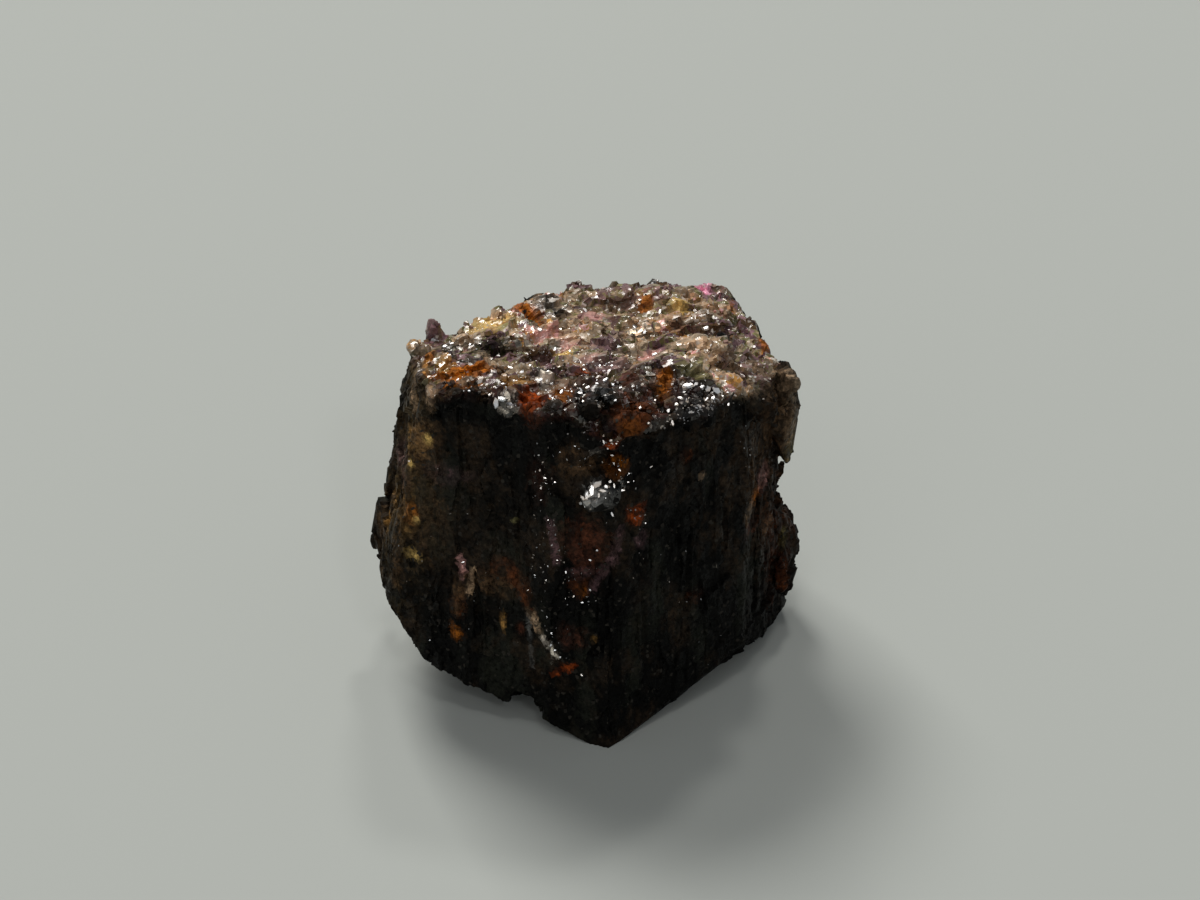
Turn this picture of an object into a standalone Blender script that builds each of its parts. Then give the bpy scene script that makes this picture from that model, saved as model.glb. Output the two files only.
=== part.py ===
"""A rough painite crystal, about 9 mm across: one stubby column that tapers upwards.

Its sides are the flat faces of a hexagonal crystal, ribbed along the column by growth. Its upper end is a
broken crown of ledges and grains that leans down towards the back, and its lower end is broken too, with a
flat patch that it rests on. It grew as one piece, so it is one solid.

Sizes below are in millimetres, and the finished mesh is turned into metres. +Z is up, and the sharp front
edge of the column stands on the origin and looks along -Y.
"""

import math
import random

import bmesh
import bpy
from mathutils import Matrix, Vector
from mathutils.bvhtree import BVHTree

MM = 0.001
STOCK_HALF = 12.0
# Corners nearer than this are made one, so that no hair-thin bridge holds a chip on.
WELD = 0.003
COLUMN_CENTRE = Vector((-0.2, 4.1, 0.0))

# Each side face of the column: which way it looks, in degrees from +X, how far it stands from the column's
# centre line at the foot, and how far it leans in on its way up, in degrees.
SIDE_FACES = {
    "front_left": (250.0, 3.79, 3.0),
    "front_right": (310.0, 3.27, 2.0),
    "right": (340.0, 3.50, 1.0),
    "right_back": (22.0, 4.05, 2.0),
    "back": (92.0, 3.76, 3.0),
    "back_left": (134.0, 3.40, 4.5),
    "left_back": (160.0, 5.08, 9.5),
    "left": (190.0, 5.19, 9.5),
}

# Broken planes at the two ends: a point on each, and its outward direction as azimuth and elevation.
CROWN = ((0.0, 0.0, 8.35), 90.0, 78.7)
END_PLANES = {
    "crown": CROWN,
    "rim_left": ((-1.9, 0.68, 7.85), 250.0, 52.0),
    "rim_right": ((0.9, 0.76, 7.45), 310.0, 50.0),
    "shoulder": ((2.9, 2.9, 7.25), 15.0, 64.0),
    "undercut_left": ((-0.45, 0.3, 0.0), 190.0, -70.0),
    "undercut_corner": ((-4.86, 3.5, 2.44), 183.0, -35.0),
    "undercut_right": ((0.3, 0.3, 0.0), 321.0, -36.0),
    "undercut_back": ((0.0, 7.0, 0.0), 100.0, -50.0),
    "foot": ((0.0, 0.0, 0.0), 0.0, -90.0),
}

# Lumps that stand out of the column: a point that is moved onto the nearest face, half sizes across, along
# and out of that face, the direction it looks in as azimuth and elevation, a turn in the face, and a seed.
LUMPS = {
    "knob": ((-3.72, 4.70, 7.4), (0.22, 0.24, 0.62), 180.0, 88.0, 0.0, 1),
    "left_corner": ((-3.35, 1.65, 8.05), (0.42, 0.42, 0.26), 215.0, 45.0, 10.0, 2),
    "amber_ledge": ((-2.95, 2.50, 7.75), (0.75, 0.50, 0.24), 250.0, 70.0, -8.0, 3),
    "white_lump": ((-2.15, 1.25, 8.00), (0.42, 0.36, 0.30), 250.0, 50.0, 20.0, 4),
    "sparkling_ledge": ((-1.75, 2.1, 7.95), (0.95, 0.32, 0.24), 262.0, 66.0, -14.0, 5),
    "red_lump": ((-1.25, 1.00, 8.00), (0.36, 0.42, 0.26), 250.0, 45.0, 0.0, 6),
    "front_block": ((0.05, 0.85, 7.75), (1.05, 0.42, 0.38), 268.0, 48.0, 28.0, 7),
    "amber_block": ((1.05, 1.25, 7.55), (0.62, 0.50, 0.28), 300.0, 50.0, -10.0, 8),
    "bright_block": ((2.00, 2.05, 7.45), (0.85, 0.52, 0.36), 305.0, 55.0, 14.0, 9),
    "dark_block": ((3.25, 3.35, 6.75), (0.62, 0.66, 0.34), 345.0, 35.0, 0.0, 10),
    "right_bulge_high": ((3.6, 4.75, 5.55), (0.95, 1.40, 0.48), 2.0, 4.0, 0.0, 11),
    "right_bulge_low": ((3.7, 4.90, 1.65), (0.90, 1.10, 0.30), 2.0, 0.0, 0.0, 12),
    "left_bulge": ((-4.6, 4.6, 2.9), (1.10, 1.35, 0.14), 180.0, 0.0, 8.0, 13),
    "back_right_block": ((1.5, 6.7, 6.6), (0.55, 0.50, 0.24), 90.0, 72.0, 12.0, 14),
    "back_block": ((0.2, 6.8, 6.7), (1.05, 0.55, 0.20), 90.0, 76.0, -6.0, 15),
    "back_left_block": ((-1.15, 6.9, 6.6), (0.60, 0.62, 0.30), 110.0, 74.0, 10.0, 16),
    "bright_face": ((-0.14, 0.45, 6.30), (0.52, 0.34, 0.34), 265.0, 25.0, 12.0, 17),
    "orange_bead": ((0.58, 0.75, 5.45), (0.24, 0.40, 0.13), 310.0, 0.0, -8.0, 18),
    "plate": ((-1.28, 0.75, 4.75), (0.50, 2.40, 0.20), 250.0, 3.0, 2.0, 19),
    "plate_foot": ((-0.90, 0.55, 2.45), (0.22, 0.85, 0.20), 252.0, 3.0, -32.0, 20),
}

# Hollows that are broken out of it, in the same form.
HOLLOWS = {
    "under_block": ((-0.05, 0.45, 7.05), (0.52, 0.50, 0.46), 275.0, 0.0, 6.0, 31),
    "lozenge": ((-0.25, 0.35, 4.75), (0.56, 1.35, 0.34), 262.0, 0.0, 4.0, 32),
    "lozenge_foot": ((-0.30, 0.25, 3.05), (0.40, 1.10, 0.24), 258.0, 0.0, 8.0, 33),
    "foot_notch": ((-1.85, 0.70, 0.30), (0.50, 0.55, 0.60), 250.0, -10.0, 0.0, 34),
    "right_notch": ((3.7, 4.6, 3.25), (0.80, 0.42, 0.22), 2.0, 0.0, 5.0, 35),
    "side_groove": ((-2.75, 1.1, 2.6), (0.18, 1.50, 0.18), 250.0, 3.0, 5.0, 36),
}

# Small repeats, scattered by a fixed seed: how many there are, the least and most of each half size, how far
# the middle of a ledge or pit stands out of the crown, and how far one may reach past the side faces.
SCATTER_SEED = 56
CROWN_LEDGES = 130
LEDGE_HALF_HEIGHTS = (0.16, 0.28)
LEDGE_PROUD = -0.08
LEDGE_OVERHANG = 0.15
CROWN_PITS = 22
PIT_HALF_DEPTHS = (0.14, 0.24)
PIT_PROUD = 0.1
RIBS_PER_FACE = 10
RIB_HALF_SIZES = ((0.08, 0.3), (0.6, 2.6), (0.03, 0.08))
GROOVES_PER_FACE = 4
GROOVE_HALF_SIZES = ((0.05, 0.12), (0.5, 1.8), (0.06, 0.12))


def direction(azimuth, elevation):
    """The unit vector that looks along an azimuth from +X and an elevation above the horizon, in degrees."""
    a, e = math.radians(azimuth), math.radians(elevation)
    return Vector((math.cos(a) * math.cos(e), math.sin(a) * math.cos(e), math.sin(e)))


def on_face(point, azimuth, elevation, turn=0.0):
    """The frame of a face: X runs level across it, Y up along it and Z out of it."""
    out = direction(azimuth, elevation)
    across = direction(azimuth + 90.0, 0.0)
    along = out.cross(across)
    axes = Matrix((across, along, out)).transposed().to_4x4()
    return Matrix.Translation(point) @ axes @ Matrix.Rotation(math.radians(turn), 4, "Z")


def keep_inside(bm, point, outward):
    """Cuts away what lies beyond a plane, and closes the cut with one flat face."""
    everything = bm.verts[:] + bm.edges[:] + bm.faces[:]
    cut = bmesh.ops.bisect_plane(
        bm, geom=everything, dist=1e-6, plane_co=point, plane_no=outward, clear_outer=True
    )
    rim = [g for g in cut["geom_cut"] if isinstance(g, bmesh.types.BMEdge)]
    if rim:
        bmesh.ops.contextual_create(bm, geom=rim)


def as_object(name, bm):
    """A scene object from a bmesh, used only to be joined to the crystal or cut from it."""
    mesh = bpy.data.meshes.new(name)
    bmesh.ops.recalc_face_normals(bm, faces=bm.faces[:])
    bm.to_mesh(mesh)
    bm.free()
    obj = bpy.data.objects.new(name, mesh)
    bpy.context.scene.collection.objects.link(obj)
    return obj


def column():
    """A block cut down to the crystal's side faces and to the planes of its two ends."""
    bm = bmesh.new()
    bmesh.ops.create_cube(bm, size=2 * STOCK_HALF)
    for azimuth, distance, lean in SIDE_FACES.values():
        foot = COLUMN_CENTRE + distance * direction(azimuth, 0.0)
        keep_inside(bm, foot, direction(azimuth, lean))
    for point, azimuth, elevation in END_PLANES.values():
        keep_inside(bm, Vector(point), direction(azimuth, elevation))
    return bm


def add_hull(bm, points):
    """Adds the convex hull of some points to a bmesh that may hold others already."""
    verts = [bm.verts.new(p) for p in points]
    hull = bmesh.ops.convex_hull(bm, input=verts)
    inside = {g for g in hull["geom_interior"] if isinstance(g, bmesh.types.BMVert)}
    bmesh.ops.delete(bm, geom=list(inside), context="VERTS")


def grain(bm, frame, half_sizes, rng, points=13):
    """An angular lump: the hull of points on an ellipsoid, so that every face of it is flat."""
    placed = []
    for k in range(points):
        # A golden-angle spiral spreads the points, and a little scatter makes the faces unequal.
        height = 1 - 2 * (k + 0.5) / points
        around = k * math.pi * (3 - math.sqrt(5)) + rng.uniform(-0.4, 0.4)
        ring = math.sqrt(1 - height * height)
        reach = rng.uniform(0.9, 1.08)
        unit = Vector((height, ring * math.cos(around), ring * math.sin(around)))
        placed.append(frame @ Vector(u * h * reach for u, h in zip(unit, half_sizes)))
    add_hull(bm, placed)


def slab(bm, frame, half_sizes, rng, wobble):
    """A block with uneven corners, for a ledge, a rib or a groove."""
    placed = []
    for k in range(8):
        sides = (1 if k & 1 else -1, 1 if k & 2 else -1, 1 if k & 4 else -1)
        corner = Vector(s * h * (1 - rng.uniform(0.0, wobble)) for s, h in zip(sides, half_sizes))
        placed.append(frame @ corner)
    add_hull(bm, placed)


def named_lumps(table, surface):
    """Every lump or hollow of a table, each with its middle on the column's surface."""
    bm = bmesh.new()
    for point, half_sizes, azimuth, elevation, turn, seed in table.values():
        spot = surface.find_nearest(Vector(point))[0]
        frame = on_face(spot, azimuth, elevation, turn)
        grain(bm, frame, half_sizes, random.Random(seed))
    return bm


def inside_sides(spot):
    """How far a point is inside the nearest side face."""
    return min(
        distance - (spot - COLUMN_CENTRE).dot(direction(azimuth, lean)) / math.cos(math.radians(lean))
        for azimuth, distance, lean in SIDE_FACES.values()
    )


def top_scatter(rng, count, surface, heights, proud):
    """Ledges or pits over the crown and its bevels: long across it, each tipped a little its own way."""
    bm = bmesh.new()
    made = 0
    for _ in range(count * 4):
        if made == count:
            break
        above = Vector((rng.uniform(-3.7, 3.6), rng.uniform(0.3, 7.5), STOCK_HALF))
        spot, out, _, _ = surface.ray_cast(above, Vector((0.0, 0.0, -1.0)))
        if spot is None or out.z < 0.5:
            continue
        azimuth = math.degrees(math.atan2(out.y, out.x))
        elevation = math.degrees(math.asin(out.z))
        room = inside_sides(spot) + LEDGE_OVERHANG
        across, along = rng.uniform(0.3, 0.95), rng.uniform(0.18, 0.5)
        half_sizes = (min(across, room), min(along, room), rng.uniform(*heights))
        frame = on_face(spot + proud * out, azimuth, elevation, rng.uniform(-35.0, 35.0))
        frame @= Matrix.Rotation(rng.uniform(-0.26, 0.26), 4, "X")
        frame @= Matrix.Rotation(rng.uniform(-0.2, 0.2), 4, "Y")
        if made % 2:
            slab(bm, frame, half_sizes, rng, 0.5)
        else:
            grain(bm, frame, half_sizes, rng, 11)
        made += 1
    return bm


def side_scatter(rng, count, surface, limits):
    """Ribs or grooves along every side face, where that face is part of the crystal's surface."""
    bm = bmesh.new()
    for azimuth, distance, lean in SIDE_FACES.values():
        foot = COLUMN_CENTRE + distance * direction(azimuth, 0.0)
        face = on_face(foot, azimuth, lean)
        made = 0
        for _ in range(count * 6):
            if made == count:
                break
            half_sizes = [rng.uniform(*limit) for limit in limits]
            middle = Vector((rng.uniform(-3.6, 3.6), rng.uniform(0.3, 8.2), 0.0))
            ends = [face @ (middle + side * Vector((0.0, half_sizes[1], 0.0))) for side in (-1, 1)]
            if any((surface.find_nearest(end)[0] - end).length > 0.02 for end in ends):
                continue
            spot = face @ middle
            frame = on_face(spot, azimuth, lean, rng.uniform(-3.0, 3.0))
            slab(bm, frame, half_sizes, rng, 0.45)
            made += 1
    return bm


def modify(target, other, operation):
    """Adds or takes away all of another object's lumps, which may overlap one another."""
    modifier = target.modifiers.new(other.name, "BOOLEAN")
    modifier.operation = operation
    modifier.solver = "EXACT"
    modifier.use_self = True
    modifier.object = other


def baked(obj):
    """The object's mesh with its modifiers applied."""
    bpy.context.view_layer.update()
    graph = bpy.context.evaluated_depsgraph_get()
    return bpy.data.meshes.new_from_object(obj.evaluated_get(graph))


def drop_chips(mesh):
    """Leaves only the largest body of the mesh: a cut can set a sliver of a lump free."""
    bm = bmesh.new()
    bm.from_mesh(mesh)
    bmesh.ops.remove_doubles(bm, verts=bm.verts, dist=WELD)
    waiting = set(bm.faces)
    bodies = []
    while waiting:
        body = set()
        found = [waiting.pop()]
        while found:
            face = found.pop()
            body.add(face)
            near = {f for e in face.edges if len(e.link_faces) == 2 for f in e.link_faces} & waiting
            waiting -= near
            found += near
        bodies.append(body)
    bodies.sort(key=len)
    for body in bodies[:-1]:
        bmesh.ops.delete(bm, geom=list(body), context="FACES")
    bm.to_mesh(mesh)
    bm.free()


def in_metres(mesh):
    """Puts the middle of the mesh's footprint at the origin, its lowest point at zero, and scales it."""
    corners = [v.co for v in mesh.vertices]
    low = Vector(map(min, zip(*corners)))
    high = Vector(map(max, zip(*corners)))
    middle = (low + high) / 2
    mesh.transform(Matrix.Scale(MM, 4) @ Matrix.Translation((-middle.x, -middle.y, -low.z)))


def dark_stone():
    """Nearly black, with a red-brown cast and the gloss of a hard mineral."""
    material = bpy.data.materials.new("painite")
    material.use_nodes = True
    shader = material.node_tree.nodes["Principled BSDF"]
    shader.inputs["Base Color"].default_value = (0.045, 0.022, 0.016, 1.0)
    shader.inputs["Roughness"].default_value = 0.35
    shader.inputs["Metallic"].default_value = 0.0
    return material


def main():
    for obj in list(bpy.data.objects):
        bpy.data.objects.remove(obj)
    rng = random.Random(SCATTER_SEED)
    block = column()
    surface = BVHTree.FromBMesh(block)
    body = as_object("column", block)
    steps = [
        (named_lumps(LUMPS, surface), "UNION"),
        (top_scatter(rng, CROWN_LEDGES, surface, LEDGE_HALF_HEIGHTS, LEDGE_PROUD), "UNION"),
        (side_scatter(rng, RIBS_PER_FACE, surface, RIB_HALF_SIZES), "UNION"),
        (top_scatter(rng, CROWN_PITS, surface, PIT_HALF_DEPTHS, PIT_PROUD), "DIFFERENCE"),
        (side_scatter(rng, GROOVES_PER_FACE, surface, GROOVE_HALF_SIZES), "DIFFERENCE"),
        (named_lumps(HOLLOWS, surface), "DIFFERENCE"),
    ]
    for number, (bm, operation) in enumerate(steps):
        modify(body, as_object(f"step_{number}", bm), operation)
    mesh = baked(body)
    drop_chips(mesh)
    in_metres(mesh)
    for obj in list(bpy.data.objects):
        bpy.data.objects.remove(obj)
    mesh.materials.clear()
    mesh.materials.append(dark_stone())
    crystal = bpy.data.objects.new("painite_crystal", mesh)
    bpy.context.scene.collection.objects.link(crystal)


main()
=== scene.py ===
# %% [markdown]
# # A painite crystal, dressed for the light
# The solid is a stubby column, 9 mm across, that tapers upwards. It already has the right outline, ledges and
# hollows, but each of its faces is flat. A real stone of this kind is broken and etched all over: its crown
# glitters with hundreds of small facets, and its dark sides are drawn out in fine upright streaks. This lesson
# carves that surface into a copy of the solid, colours it, grows small grains on the crown and sets the glints.

# %% Load the solid
import itertools
import math

import bmesh
import bpy
import numpy as np
from mathutils import Matrix, Vector
from mathutils.bvhtree import BVHTree


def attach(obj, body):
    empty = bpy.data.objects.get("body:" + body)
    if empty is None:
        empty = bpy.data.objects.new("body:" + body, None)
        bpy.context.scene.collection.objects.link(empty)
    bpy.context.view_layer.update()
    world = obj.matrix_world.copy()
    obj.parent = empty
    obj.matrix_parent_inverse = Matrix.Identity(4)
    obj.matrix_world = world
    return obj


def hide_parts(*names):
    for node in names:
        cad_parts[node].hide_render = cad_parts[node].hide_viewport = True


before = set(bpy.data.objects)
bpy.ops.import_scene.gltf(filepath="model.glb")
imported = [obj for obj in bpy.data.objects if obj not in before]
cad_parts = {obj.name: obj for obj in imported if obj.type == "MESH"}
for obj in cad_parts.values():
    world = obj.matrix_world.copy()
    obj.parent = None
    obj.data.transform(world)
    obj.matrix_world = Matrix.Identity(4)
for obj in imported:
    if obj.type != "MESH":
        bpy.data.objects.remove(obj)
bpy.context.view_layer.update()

scene = bpy.context.scene
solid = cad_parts["painite_crystal"]
print("solid:", len(solid.data.polygons), "triangles")

# %% [markdown]
# ## Working in millimetres
# The scene is in metres and the stone is smaller than a fingernail, so the shapes are worked out in millimetres
# and scaled at the end. Places are measured from the foot of the sharp front edge: x to the right, y to the back
# and z up. FOOT says where that foot is from the middle of the resting face.

# %% Units and the place to measure from
MM = 0.001
TURN = 6.28  # radians once round, near enough for these shapes
FOOT = np.array((0.4254, -3.9674, 0.0))


def to_scene(points):
    """Millimetres from the foot of the front edge to metres in the scene."""
    return (np.asarray(points, float) + FOOT) * MM


def read_points(mesh, name="co"):
    """The places (or normals) of a mesh's corners as rows of x, y, z."""
    found = np.empty(len(mesh.vertices) * 3, np.float32)
    mesh.vertices.foreach_get(name, found)
    return found.reshape(-1, 3).astype(float)


def write_points(mesh, points):
    """Gives the mesh's corners new places."""
    mesh.vertices.foreach_set("co", points.astype(np.float32).ravel())
    mesh.update()


# %% [markdown]
# ## Chance that is the same each time
# Broken crystal looks random, yet the part has to come out the same on each run. Random numbers could be drawn
# one after the other, but then one more point would change all that follow. Instead each little cube of space
# gets its own numbers, scrambled from its place. Two patterns come from them: a soft noise, and humps, which are
# nearly flat facets round scattered points. Each has a tilt of its own, and they meet in sharp valleys.

# %% Noise and humps
def scrambled(cubes, seed):
    """Three numbers from 0 to 1 for each row of whole numbers."""
    c = cubes.astype(np.int64).astype(np.uint64)
    h = c[:, 0] * np.uint64(73856093) ^ c[:, 1] * np.uint64(19349663) ^ c[:, 2] * np.uint64(83492791)
    h ^= np.full(1, seed * 2654435761 + 97, np.uint64)
    rows = []
    for _ in range(3):
        h ^= h >> np.uint64(33)
        h *= np.full(1, 0xFF51AFD7ED558CCD, np.uint64)
        h ^= h >> np.uint64(29)
        rows.append((h >> np.uint64(11)).astype(float) / 2.0 ** 53)
    return np.stack(rows, 1)


def noise(points, size, seed):
    """Soft random values from -1 to 1 that change over size, in millimetres."""
    q = points / np.asarray(size, float)
    base = np.floor(q)
    part = q - base
    part = part * part * (3 - 2 * part)
    total = 0.0
    for corner in itertools.product((0, 1), repeat=3):
        weight = np.where(corner, part, 1 - part).prod(1)
        total = total + weight * scrambled(base + corner, seed)[:, 0]
    return total * 2 - 1


TALL = 1.0  # how far the facets stand above the skin on average, taken off again so that the stone keeps its size


def humps(points, size, seed, slope):
    """Nearly flat facets, each with its own tilt, that meet in valleys: their height and each facet's numbers."""
    size = np.asarray(size, float)
    q = points / size
    base = np.floor(q)
    best = np.full(len(q), -9.0)  # lower than any facet
    bulge = np.zeros(len(q))
    own = np.zeros((len(q), 3))
    for step in itertools.product((-1, 0, 1), repeat=3):
        cube = base + step
        offset = q - cube - scrambled(cube, seed)
        luck = scrambled(cube, seed + 500)
        far = (offset ** 2).sum(1)
        top = luck[:, 0] * 0.6 + ((luck * 2 - 1) * offset).sum(1) * 1.2 - far
        higher = top > best
        best = np.where(higher, top, best)
        bulge = np.where(higher, far, bulge)
        own[higher] = luck[higher]
    return (best + 0.7 * bulge - TALL) * slope * size.min(), own


def smooth(values, low, high):
    """0 at low, 1 at high, and a soft rise between; high may be the smaller number."""
    t = np.clip((values - low) / (high - low), 0, 1)
    return t * t * (3 - 2 * t)


# %% [markdown]
# ## Which face is which
# The crown and the side faces need different surfaces. The faces could be picked by hand, but the column follows a
# rule: each face is a plane with a compass direction, a distance and a lean. So a point belongs to the plane that
# it is furthest outside of, and the difference between two planes says how near the edge between them is.

# %% The planes of the column
# A side has its direction, its distance from the axis and its lean. A top has a place on it instead of a distance.
AXIS = np.array((-0.2, 4.1, 0.0))
SIDES = {"front_left": (250.0, 3.79, 3.0), "front_right": (310.0, 3.27, 2.0), "right": (340.0, 3.50, 1.0),
         "right_back": (22.0, 4.05, 2.0), "back": (92.0, 3.76, 3.0), "back_left": (134.0, 3.40, 4.5),
         "left_back": (160.0, 5.08, 9.5), "left": (190.0, 5.19, 9.5)}
TOPS = {"crown": ((0.0, 0.0, 8.35), 90.0, 78.7), "rim_left": ((-1.9, 0.68, 7.85), 250.0, 52.0),
        "rim_right": ((0.9, 0.76, 7.45), 310.0, 50.0), "shoulder": ((2.9, 2.9, 7.25), 15.0, 64.0)}


def facing(azimuth, elevation):
    """The unit arrow that points that many degrees round from x, and up."""
    a, e = math.radians(azimuth), math.radians(elevation)
    return np.array((math.cos(a) * math.cos(e), math.sin(a) * math.cos(e), math.sin(e)))


def outside(points, planes):
    """How far each point is outside the one of these planes that it is furthest outside of."""
    return np.max([(points - np.asarray(place, float)) @ facing(azimuth, lean)
                   for place, azimuth, lean in planes.values()], axis=0)


WALLS = {name: (AXIS + facing(azimuth, 0) * distance, azimuth, lean)
         for name, (azimuth, distance, lean) in SIDES.items()}
FRONT = {name: WALLS[name] for name in ("front_left", "front_right")}
print("planes:", len(WALLS), "walls and", len(TOPS), "tops")


# %% [markdown]
# ## A fine skin on the solid
# The solid has a few thousand triangles, some long and thin. To carve facets of a fifth of a millimetre the mesh
# must be much finer and even. Subdividing would keep the long thin ones, so the copy is remeshed: Blender fills
# it with cubes of 0.036 mm and wraps a new skin round them. The copy's doubles are merged first, because the
# frame's mesh is loose triangles. A search tree of the copy is kept, to find places on the solid later.

# %% Remesh a copy
VOXEL = 0.036


def applied(thing, modifiers):
    """The mesh of an object after the modifiers that it has and these, with none left on it."""
    for kind, settings in modifiers:
        made = thing.modifiers.new(kind.lower(), kind)
        for name, value in settings.items():
            setattr(made, name, value)
    graph = bpy.context.evaluated_depsgraph_get()
    mesh = bpy.data.meshes.new_from_object(thing.evaluated_get(graph))
    thing.modifiers.clear()
    return mesh


work = bmesh.new()
work.from_mesh(solid.data)
bmesh.ops.remove_doubles(work, verts=work.verts, dist=1e-8)
for vert in work.verts:
    vert.co = vert.co / MM - Vector(FOOT)
solid_tree = BVHTree.FromBMesh(work)
rough = bpy.data.meshes.new("crystal_rough")
work.to_mesh(rough)
work.free()
crystal = bpy.data.objects.new("crystal", rough)
scene.collection.objects.link(crystal)
crystal.data = applied(crystal, [("REMESH", {"mode": "VOXEL", "voxel_size": VOXEL})])
print("skin:", len(crystal.data.polygons), "faces")

# %% [markdown]
# ## From the photo to the stone
# Most details below were picked in the photo. Their places could be guessed in millimetres, but it is
# surer to note the point of the 1200 x 900 photo where each is seen and to follow the camera's line of sight
# through that point to the solid. So the camera's place is settled here, before the details that depend on it.

# %% The line of sight
LOOK_AT = np.array((-0.1746, 4.2918, 4.743))
TO_CAMERA = facing(270, 35)
DISTANCE, LENS, FILM = 110.0, 154.0, 36.0
PHOTO = (1200, 900)
POINT = 0.0215  # how wide one point of the photo is on the stone, in millimetres


def seen_at(x, y):
    """Where the line of sight through a point of the photo meets the solid."""
    across = (x - PHOTO[0] / 2) * FILM / PHOTO[0] / LENS
    up = (PHOTO[1] / 2 - y) * FILM / PHOTO[0] / LENS
    sight = across * facing(0, 0) + up * facing(90, 55) - TO_CAMERA
    eye = LOOK_AT + TO_CAMERA * DISTANCE
    return np.array(solid_tree.ray_cast(Vector(eye), Vector(sight).normalized())[0])


print("the middle of the photo is on the stone at", seen_at(600, 450).round(2), "mm")

# %% [markdown]
# ## Facets and streaks
# Each kind of face gets its own relief, pushed along the skin's normals. The crown is made of three sizes of
# facets laid over each other. The walls get streaks: the same facets stretched upright, because the real streaks
# are the edges of many thin parallel crystals. The walls are calm at the front and lumpy at the left and right.
# A few ridges that show in the photo are added by place, and the smallest lumps of the solid are left almost calm.

# %% Carve the relief
def crown_share(points):
    """1 on the crown, 0 on the walls, with a ragged border."""
    lead = outside(points, TOPS) - outside(points, WALLS)
    return smooth(lead + 0.12 * noise(points, 0.5, 5), -0.25, 0.1)


# Size in mm along x, y and z, seed and slope of the facets, from coarse to fine.
CROWN_HUMPS = (((0.90, 0.70, 0.55), 11, 0.26), ((0.42, 0.34, 0.30), 12, 0.38), ((0.20, 0.17, 0.16), 13, 0.22))
WALL_HUMPS = (((0.60, 0.60, 1.6), 21, 0.10), ((0.22, 0.22, 0.55), 22, 0.14), ((0.10, 0.10, 0.18), 23, 0.16))
LUMP_HUMPS = (((0.9, 0.9, 1.1), 24, 0.14), ((0.34, 0.34, 0.5), 25, 0.20))

# Thin upright prisms that stand out of the walls: both ends in the photo, half width and height in mm.
RIDGES = (
    ((462, 562), (457, 640), 0.1, 0.07),
    ((473, 566), (468, 604), 0.08, 0.06),
    ((502, 602), (505, 640), 0.1, 0.06),
    ((530, 592), (538, 632), 0.08, 0.07),
    ((541, 640), (558, 664), 0.08, 0.06),
    ((416, 430), (409, 500), 0.14, 0.08),
    ((425, 470), (421, 560), 0.14, 0.06),
    ((440, 560), (436, 620), 0.11, 0.05),
    ((486, 480), (484, 560), 0.14, 0.04),
    ((516, 440), (512, 520), 0.11, 0.04),
    ((700, 430), (706, 520), 0.14, 0.04),
    ((740, 425), (748, 500), 0.11, 0.08),
    ((724, 470), (722, 560), 0.11, 0.04),
    ((768, 470), (764, 530), 0.14, 0.08))
# Small lumps that the relief would spoil: place and reach in mm.
CALM = (((-3.72, 4.70, 7.75), 0.75), ((-0.1, 0.3, 6.5), 0.6), ((0.6, 0.75, 5.5), 0.45), ((3.9, 4.2, 5.2), 0.8))
DEEPEST, HIGHEST = -0.13, 0.16  # limits of the relief, in mm


def apart(points, place):
    """How far each point is from a place."""
    return np.sqrt(((points - place) ** 2).sum(1))


def from_line(points, first, last):
    """How far each point is from the line between two places, and how far along it."""
    way = last - first
    along = (((points - first) @ way) / (way @ way)).clip(0, 1)
    return np.sqrt(((points - first - along[:, None] * way) ** 2).sum(1)), along


def relief(points):
    """How far the skin moves out, in millimetres."""
    crown = crown_share(points)
    calm = smooth(outside(points, FRONT) - outside(points, WALLS), -1.2, -0.1)  # 1 on the front faces
    height = np.zeros(len(points))
    lumpy = (1 - crown) * (1 - 0.8 * calm)
    for kinds, share in ((CROWN_HUMPS, crown), (WALL_HUMPS, 1 - crown), (LUMP_HUMPS, lumpy)):
        there = share > 0.01
        for size, seed, slope in kinds:
            height[there] += humps(points[there], size, seed, slope)[0] * share[there]
    # The relief fades out towards the foot, so that the flat patches to rest on stay flat.
    height = height.clip(DEEPEST, HIGHEST) * smooth(points[:, 2], 0.05, 0.35)
    for first, last, half, tall in RIDGES:
        away, along = from_line(points, seen_at(*first), seen_at(*last))
        height += tall * (1 - smooth(away, 0.2 * half, half)) * (0.6 + 0.4 * np.sin(TURN / 2 * along))
    for place, reach in CALM:
        height *= 0.25 + 0.75 * smooth(apart(points, place), 0.6 * reach, reach)
    return height


skin = crystal.data
points = read_points(skin)
normals = read_points(skin, "normal")
height = relief(points)
points += normals * height[:, None]
points[:, 2] = points[:, 2].clip(0)
write_points(skin, points)
print("relief:", round(height.min(), 3), "to", round(height.max(), 3), "mm")

# %% Thin the skin out where it is flat
MOST_TRIANGLES = 190000  # the most that a piece may have is 200,000
count = sum(len(f.vertices) - 2 for f in skin.polygons)
crystal.data = applied(crystal, [("TRIANGULATE", {}), ("DECIMATE", {"ratio": MOST_TRIANGLES / count})])
skin = crystal.data
print("thinned from", count, "to", len(skin.polygons), "triangles")

# %% Take out stray bits
# Remeshing and thinning leave a few bits of a tenth of a millimetre that hang in the air or in the stone.
def keep_largest_body(mesh):
    """Takes out all that isn't joined to the largest body, and says how many bits that were."""
    work = bmesh.new()
    work.from_mesh(mesh)
    bodies, seen = [], set()
    for start in work.verts:
        body, front = [], [start]
        while front:
            vert = front.pop()
            if vert not in seen:
                seen.add(vert)
                body.append(vert)
                front += [edge.other_vert(vert) for edge in vert.link_edges]
        if body:
            bodies.append(body)
    bodies.sort(key=len)
    bmesh.ops.delete(work, geom=[vert for body in bodies[:-1] for vert in body], context="VERTS")
    work.to_mesh(mesh)
    work.free()
    return len(bodies) - 1


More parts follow.
